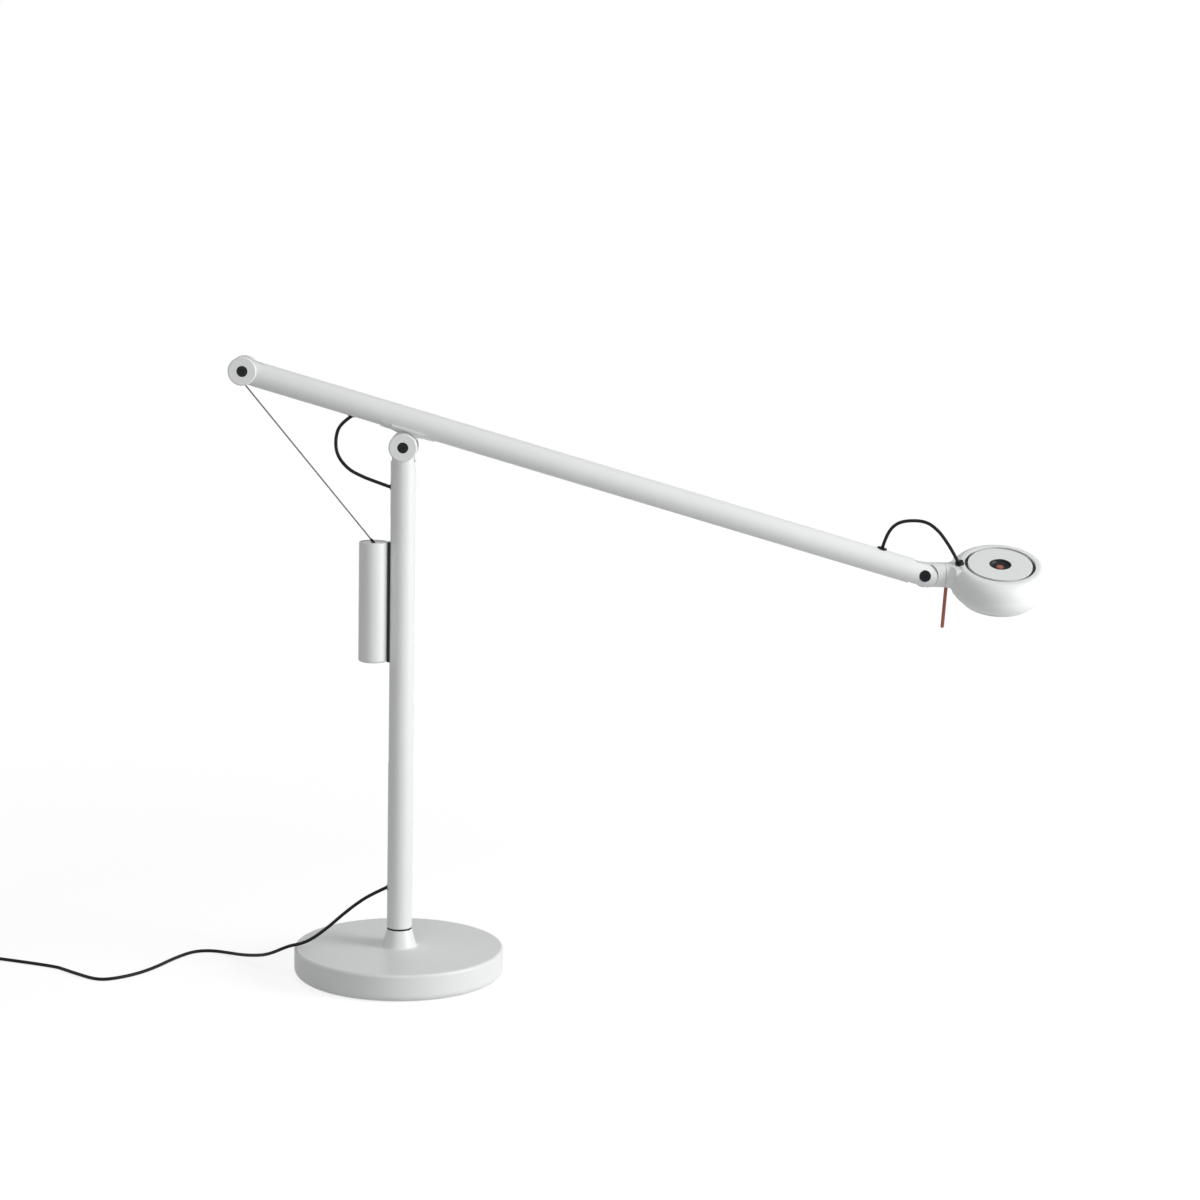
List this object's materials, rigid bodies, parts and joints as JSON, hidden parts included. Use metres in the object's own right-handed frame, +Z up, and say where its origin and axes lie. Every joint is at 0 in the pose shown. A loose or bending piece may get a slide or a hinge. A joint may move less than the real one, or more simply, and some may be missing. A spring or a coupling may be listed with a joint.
{
  "type": "counterweight balance desk lamp",
  "caption": "Desk lamp with a tilting arm on a swivelling post, balanced by a weight that hangs on a wire and slides on the post, and a round head that tilts and rolls.",
  "frame": {"origin": "middle of the base's underside, on the surface it stands on", "axes": "+Z up, +X from the post towards the head at rest, +Y away from the camera"},
  "size_m": [1.2195, 0.21, 0.6186],
  "materials": {
    "painted_steel": "matte",
    "cast_base": "matte",
    "painted_aluminium": "matte",
    "painted_plastic": "matte",
    "bright_steel": "satin",
    "black_steel": "satin",
    "black_plastic": "matte",
    "white_plastic": "matte",
    "red_plastic": "satin",
    "black_rubber": "matte",
    "cable_black": "satin",
    "circuit_board": "satin",
    "light_board": "satin",
    "bare_aluminium": "satin",
    "lens_plastic": "satin"
  },
  "bodies": {
    "base": {"base_casting": "cast_base", "base_pad": "black_rubber", "swivel_bush": "white_plastic", "swivel_washer": "black_plastic", "power_cord": "cable_black", "power_cord_coil": "cable_black", "supply_plug": "black_plastic", "plug_pins": "bright_steel"},
    "post": {"swivel_spindle": "bright_steel", "spring_washer": "bright_steel", "spindle_nut": "bright_steel", "post_collar": "painted_steel", "post_tube": "painted_steel", "post_cap": "painted_aluminium", "pivot_discs": "painted_aluminium", "pivot_screws": "black_steel", "pivot_axle": "bright_steel", "post_grommets": "black_rubber", "post_cable": "cable_black", "rear_loop": "cable_black"},
    "weight": {"weight_body": "painted_steel", "weight_lid": "painted_aluminium", "slide_shoe": "black_plastic", "shoe_screws": "black_steel"},
    "wire": {"wire": "bright_steel", "wire_ferrule": "black_steel", "wire_eye": "bright_steel"},
    "arm": {"arm_tube": "painted_aluminium", "arm_saddle": "painted_aluminium", "saddle_screws": "bright_steel", "pivot_bushes": "white_plastic", "tail_cap": "painted_aluminium", "tail_discs": "painted_aluminium", "tail_pins": "bright_steel", "arm_screws": "black_steel", "fork_cap": "painted_aluminium", "hinge_pin": "bright_steel", "front_grommet": "black_rubber", "rear_grommet": "black_rubber", "arm_cable": "cable_black", "front_loop": "cable_black"},
    "neck": {"neck_tongue": "painted_aluminium", "hinge_bushes": "white_plastic", "roll_bolt": "bright_steel", "head_loop": "cable_black"},
    "head": {"head_housing": "painted_plastic", "vent_ring": "black_plastic", "top_plate": "painted_plastic", "button_dish": "black_plastic", "control_board": "circuit_board", "heat_sink": "bare_aluminium", "head_screws": "bright_steel", "led_board": "light_board", "lens": "lens_plastic", "lens_ring": "white_plastic", "handle_pin": "red_plastic", "head_grommet": "black_rubber"},
    "button": {"push_button": "red_plastic"}
  },
  "joints": [
    {"name": "post_swivel", "type": "hinge", "parent": "base", "child": "post", "pos_m": [0, 0, 0.0464], "axis": [0, 0, 1], "range_deg": [-120, 120]},
    {"name": "arm_tilt", "type": "hinge", "parent": "post", "child": "arm", "pos_m": [0, 0, 0.53315], "axis": [0, -1, 0], "range_deg": [-10, 40], "deforming": ["rear_loop"]},
    {"name": "weight_slide", "type": "slide", "parent": "post", "child": "weight", "axis": [0, 0, 1], "range_m": [-0.0997, 0.0251]},
    {"name": "wire_swing", "type": "hinge", "parent": "weight", "child": "wire", "pos_m": [-0.0286, 0, 0.4376], "axis": [0, -1, 0], "range_deg": [-1.8, 7.1]},
    {"name": "head_tilt", "type": "hinge", "parent": "arm", "child": "neck", "pos_m": [0.51412, 0, 0.41643], "axis": [0, -1, 0], "range_deg": [-50, 19], "deforming": ["front_loop", "head_loop"]},
    {"name": "head_roll", "type": "hinge", "parent": "neck", "child": "head", "pos_m": [0.51412, 0, 0.41643], "axis": [1, 0, 0], "range_deg": [-80, 40], "deforming": ["head_loop"]},
    {"name": "button_press", "type": "slide", "parent": "head", "child": "button", "axis": [0, 0.3567, -0.9342], "range_m": [0, 0.0012], "stiffness_N_per_m": 400, "springref_m": -0.001}
  ],
  "couplings": [
    {"joint": "weight_slide", "follows": "arm_tilt", "m_per_rad": -0.14246},
    {"joint": "wire_swing", "follows": "arm_tilt", "ratio": 0.1752}
  ]
}
